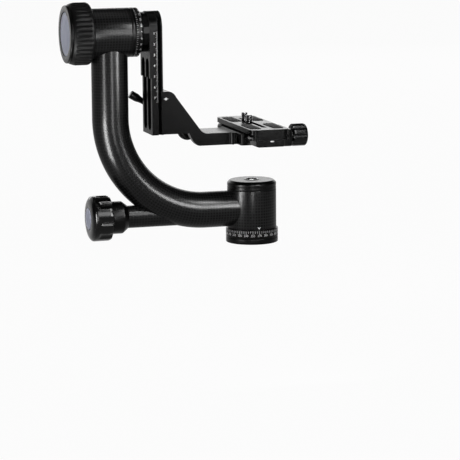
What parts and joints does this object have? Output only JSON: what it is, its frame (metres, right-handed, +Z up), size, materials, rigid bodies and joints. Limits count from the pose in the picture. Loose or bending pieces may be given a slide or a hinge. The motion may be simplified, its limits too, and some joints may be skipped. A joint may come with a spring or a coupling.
{
  "type": "gimbal tripod head",
  "caption": "Side-mount gimbal head: curved carbon arm on a pan base, tilt hub with lock knob, hanging dovetail rail, sliding cradle and a quick-release camera plate.",
  "frame": {"origin": "on the pan axis, in the plane of the base's underside, where the tripod thread opens", "axes": "+Z up along the pan axis, +X along the tilt axis from the tilt lock knob towards the rail, -Y towards the viewer of the picture"},
  "size_m": [0.2377, 0.1175, 0.2365],
  "materials": {
    "carbon": "clear-coated black carbon weave",
    "anodised": "satin black anodised",
    "plain_aluminium": "turned, plain",
    "steel": "plain steel",
    "silver_blue": "satin blue-silver",
    "rubber": "matt black rubber",
    "black_plastic": "satin black",
    "brass": "plain brass",
    "level_fluid": "clear vial with yellow-green fluid"
  },
  "bodies": {
    "base": {"base_flange": "anodised", "pan_index_ring": "anodised", "thread_bush": "steel", "pan_spindle": "steel", "spindle_screw_1": "steel", "spindle_screw_2": "steel", "spindle_screw_3": "steel", "spindle_nut": "steel", "brake_drum": "steel"},
    "arm": {"pan_bearing_lower": "steel", "pan_bearing_upper": "steel", "pan_housing": "carbon", "pan_liner": "plain_aluminium", "pan_cap": "anodised", "level_ring": "black_plastic", "level_vial": "level_fluid", "arm_tube": "carbon", "branch_tube": "carbon", "branch_collar": "anodised", "tilt_housing": "carbon", "tilt_rim": "anodised", "tilt_liner": "plain_aluminium", "tilt_bearing_left": "steel", "tilt_bearing_right": "steel"},
    "pan_knob": {"pan_lock_knob": "anodised", "pan_lock_disc": "silver_blue"},
    "pan_brake": {"pan_lock_rod": "steel", "pan_brake_shoe": "brass"},
    "swing": {"tilt_shaft": "anodised", "tilt_brake_disc": "brass", "tilt_index_ring": "anodised", "swing_rail": "anodised", "rail_screw_1": "steel", "rail_screw_2": "steel", "rail_screw_3": "steel", "rail_stop_screw": "steel"},
    "tilt_knob": {"tilt_knob_core": "anodised", "tilt_knob_disc": "silver_blue", "tilt_knob_grip": "rubber"},
    "cradle_block": {"cradle": "anodised", "lever_stud": "steel", "clamp_body": "anodised", "clamp_bolt_front": "steel", "clamp_bolt_rear": "steel", "jaw_guide_pin_front": "steel", "jaw_guide_pin_rear": "steel"},
    "rail_jaw": {"height_jaw": "anodised"},
    "rail_lever": {"height_lever": "black_plastic"},
    "plate_jaw": {"clamp_jaw": "anodised"},
    "plate_knob": {"clamp_knob": "black_plastic", "clamp_screw": "steel"},
    "plate": {"camera_plate": "anodised", "plate_pad_1": "rubber", "plate_pad_2": "rubber", "plate_pad_3": "rubber", "plate_pad_4": "rubber"},
    "rear_washer": {"slot_washer_1": "black_plastic"},
    "rear_screw": {"camera_screw_1": "steel"},
    "front_washer": {"slot_washer_2": "black_plastic"},
    "front_screw": {"camera_screw_2": "steel"}
  },
  "joints": [
    {"name": "pan_turn", "type": "hinge", "parent": "base", "child": "arm", "pos_m": [0, 0, 0.03], "axis": [0, 0, 1], "continuous": true},
    {"name": "pan_knob_turn", "type": "hinge", "parent": "arm", "child": "pan_knob", "pos_m": [-0.15, 0, 0.0303], "axis": [1, 0, 0], "range_deg": [-360, 0]},
    {"name": "pan_brake_slide", "type": "slide", "parent": "arm", "child": "pan_brake", "axis": [1, 0, 0], "range_m": [-0.001, 0]},
    {"name": "tilt_swing", "type": "hinge", "parent": "arm", "child": "swing", "pos_m": [-0.12, 0, 0.207], "axis": [1, 0, 0], "continuous": true},
    {"name": "tilt_knob_turn", "type": "hinge", "parent": "swing", "child": "tilt_knob", "pos_m": [-0.17, 0, 0.207], "axis": [1, 0, 0], "range_deg": [-180, 0]},
    {"name": "cradle_height", "type": "slide", "parent": "swing", "child": "cradle_block", "axis": [0, 0, 1], "range_m": [-0.0008, 0.062]},
    {"name": "rail_lever_turn", "type": "hinge", "parent": "cradle_block", "child": "rail_lever", "pos_m": [-0.0576, 0.028, 0.1086], "axis": [0, 1, 0], "range_deg": [-10, 100]},
    {"name": "rail_jaw_slide", "type": "slide", "parent": "cradle_block", "child": "rail_jaw", "axis": [0, 1, 0], "range_m": [-0.00003, 0.00025]},
    {"name": "plate_jaw_slide", "type": "slide", "parent": "cradle_block", "child": "plate_jaw", "axis": [1, 0, 0], "range_m": [0, 0.004]},
    {"name": "plate_knob_turn", "type": "hinge", "parent": "plate_jaw", "child": "plate_knob", "pos_m": [0.047, 0, 0.102], "axis": [1, 0, 0], "range_deg": [0, 1800]},
    {"name": "plate_slide", "type": "slide", "parent": "cradle_block", "child": "plate", "axis": [0, 1, 0], "range_m": [-0.03, 0.03]},
    {"name": "rear_screw_slide", "type": "slide", "parent": "plate", "child": "rear_washer", "axis": [0, 1, 0], "range_m": [-0.0018, 0.008]},
    {"name": "rear_screw_turn", "type": "hinge", "parent": "rear_washer", "child": "rear_screw", "pos_m": [0, 0.022, 0.11], "axis": [0, 0, 1], "continuous": true},
    {"name": "front_screw_slide", "type": "slide", "parent": "plate", "child": "front_washer", "axis": [0, 1, 0], "range_m": [-0.042, 0.0018]},
    {"name": "front_screw_turn", "type": "hinge", "parent": "front_washer", "child": "front_screw", "pos_m": [0, 0.0065, 0.11], "axis": [0, 0, 1], "continuous": true}
  ],
  "couplings": [
    {"joint": "pan_brake_slide", "follows": "pan_knob_turn", "m_per_rad": 0.000159},
    {"joint": "rail_jaw_slide", "follows": "rail_lever_turn", "m_per_rad": 0.000143},
    {"joint": "plate_jaw_slide", "follows": "plate_knob_turn", "m_per_rad": 0.000127}
  ]
}
